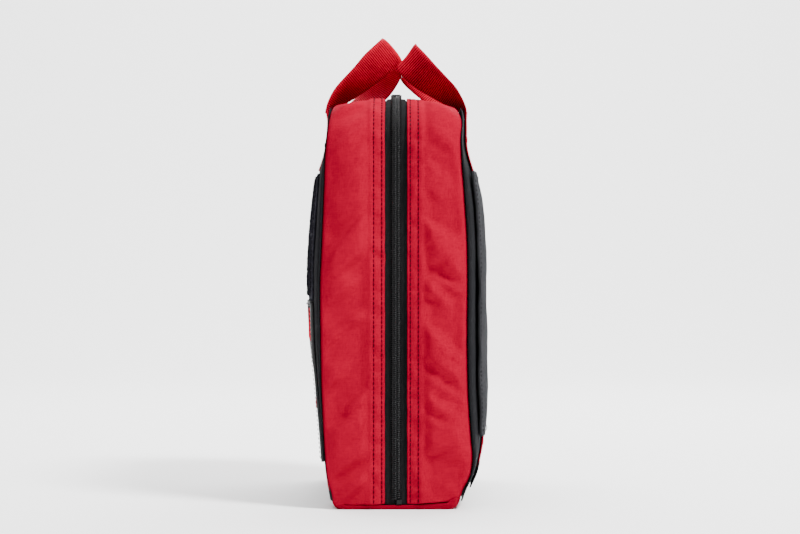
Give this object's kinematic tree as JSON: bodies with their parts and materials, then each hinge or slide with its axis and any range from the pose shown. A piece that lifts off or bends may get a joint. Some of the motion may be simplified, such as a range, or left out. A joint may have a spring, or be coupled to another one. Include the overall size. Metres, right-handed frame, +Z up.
{
  "type": "first aid kit",
  "caption": "Soft zipped clamshell first aid bag with two webbing handles, a loop panel, a cut lashing panel and stowed supplies inside.",
  "frame": {"origin": "centre of the bottom panel under the zip, on the surface the bag stands on", "axes": "+Z up, +X across the bag's width, +Y from the front (loop and lashing panels) to the back"},
  "size_m": [0.2212, 0.1345, 0.3378],
  "materials": {
    "red_canvas": "matte woven canvas",
    "black_canvas": "matte woven canvas",
    "red_webbing": "ribbed woven webbing",
    "loop_pile": "fuzzy brushed loop",
    "laminate": "smooth coated laminate",
    "zip_tape": "fine woven tape",
    "zip_coil": "satin nylon coil",
    "zip_metal": "satin black",
    "lining": "smooth lining",
    "foam": "closed cell foam",
    "mesh": "open mesh",
    "elastic": "ribbed elastic",
    "gauze": "soft cotton",
    "bandage": "crepe",
    "wrapper": "sterile wrapper",
    "foil": "metallised film",
    "glove_bag": "clear film over nitrile",
    "tape_cloth": "cloth tape",
    "cardboard": "matte",
    "steel": "satin",
    "black_plastic": "moulded",
    "thread": "sewn thread"
  },
  "bodies": {
    "back_half": {"back_bar_tacks": "thread", "back_base": "red_canvas", "back_foam": "foam", "back_foot_strip": "black_canvas", "back_gusset": "red_canvas", "back_lining": "lining", "back_panel": "black_canvas", "back_pocket": "mesh", "back_pocket_hem": "elastic", "back_seam_binding": "lining", "back_sleeve": "black_canvas", "back_straps": "red_webbing", "back_zip_coil": "zip_coil", "back_zip_tape": "zip_tape", "dressing_pack_1": "wrapper", "dressing_pack_2": "wrapper", "elastic_bandage_1": "bandage", "elastic_bandage_2": "bandage", "gauze_roll_1": "gauze", "gauze_roll_2": "gauze", "gauze_roll_3": "gauze", "roll_loops": "elastic", "zip_stops": "zip_metal"},
    "front_half": {"front_gusset": "red_canvas", "front_base": "red_canvas", "front_panel": "black_canvas", "front_foam": "foam", "front_lining": "lining", "front_seam_binding": "lining", "front_zip_tape": "zip_tape", "front_zip_coil": "zip_coil", "loop_panel": "loop_pile", "lashing_panel": "laminate", "lashing_backer": "black_canvas", "lashing_webbing_lower": "red_webbing", "lashing_webbing_upper": "red_webbing", "front_strap_ends": "red_webbing", "front_bar_tacks": "thread", "glove_pack": "glove_bag", "rescue_blanket_pack": "foil", "front_pocket": "mesh", "front_pocket_hem": "elastic", "tape_roll": "tape_cloth", "tape_core": "cardboard", "tourniquet_strap": "black_canvas", "tourniquet_buckle": "black_plastic", "tourniquet_windlass": "black_plastic", "shears_lower_half": "steel", "shears_rivet": "steel", "shears_pad": "elastic", "tweezers": "steel"},
    "front_handle": {"front_handle": "red_webbing"},
    "back_handle": {"back_handle": "red_webbing"},
    "slider_left": {"slider_left": "zip_metal"},
    "slider_right": {"slider_right": "zip_metal"},
    "pull_tab_left": {"pull_tab_left": "zip_metal"},
    "pull_tab_right": {"pull_tab_right": "zip_metal"},
    "shears_blade": {"shears_upper_half": "steel"}
  },
  "joints": [
    {"name": "clamshell_hinge", "type": "hinge", "parent": "back_half", "child": "front_half", "pos_m": [0, 0, -0.0004], "axis": [1, 0, 0], "range_deg": [0, 180]},
    {"name": "front_handle_swing", "type": "hinge", "parent": "front_half", "child": "front_handle", "pos_m": [0, -0.0505, 0.284], "axis": [1, 0, 0], "range_deg": [0, 115]},
    {"name": "back_handle_swing", "type": "hinge", "parent": "back_half", "child": "back_handle", "pos_m": [0, 0.0505, 0.282], "axis": [-1, 0, 0], "range_deg": [0, 115]},
    {"name": "slider_left_travel", "type": "slide", "parent": "back_half", "child": "slider_left", "axis": [-1, 0, 0], "range_m": [0, 0.053]},
    {"name": "slider_right_travel", "type": "slide", "parent": "back_half", "child": "slider_right", "axis": [1, 0, 0], "range_m": [0, 0.053]},
    {"name": "pull_tab_left_swing", "type": "hinge", "parent": "slider_left", "child": "pull_tab_left", "pos_m": [-0.012, 0, 0.2966], "axis": [0, 1, 0], "range_deg": [0, 120]},
    {"name": "pull_tab_right_swing", "type": "hinge", "parent": "slider_right", "child": "pull_tab_right", "pos_m": [0.012, 0, 0.2966], "axis": [0, -1, 0], "range_deg": [0, 120]},
    {"name": "shears_pivot", "type": "hinge", "parent": "front_half", "child": "shears_blade", "pos_m": [0.06, -0.04, 0.196], "axis": [0, 1, 0], "range_deg": [0, 18]}
  ]
}
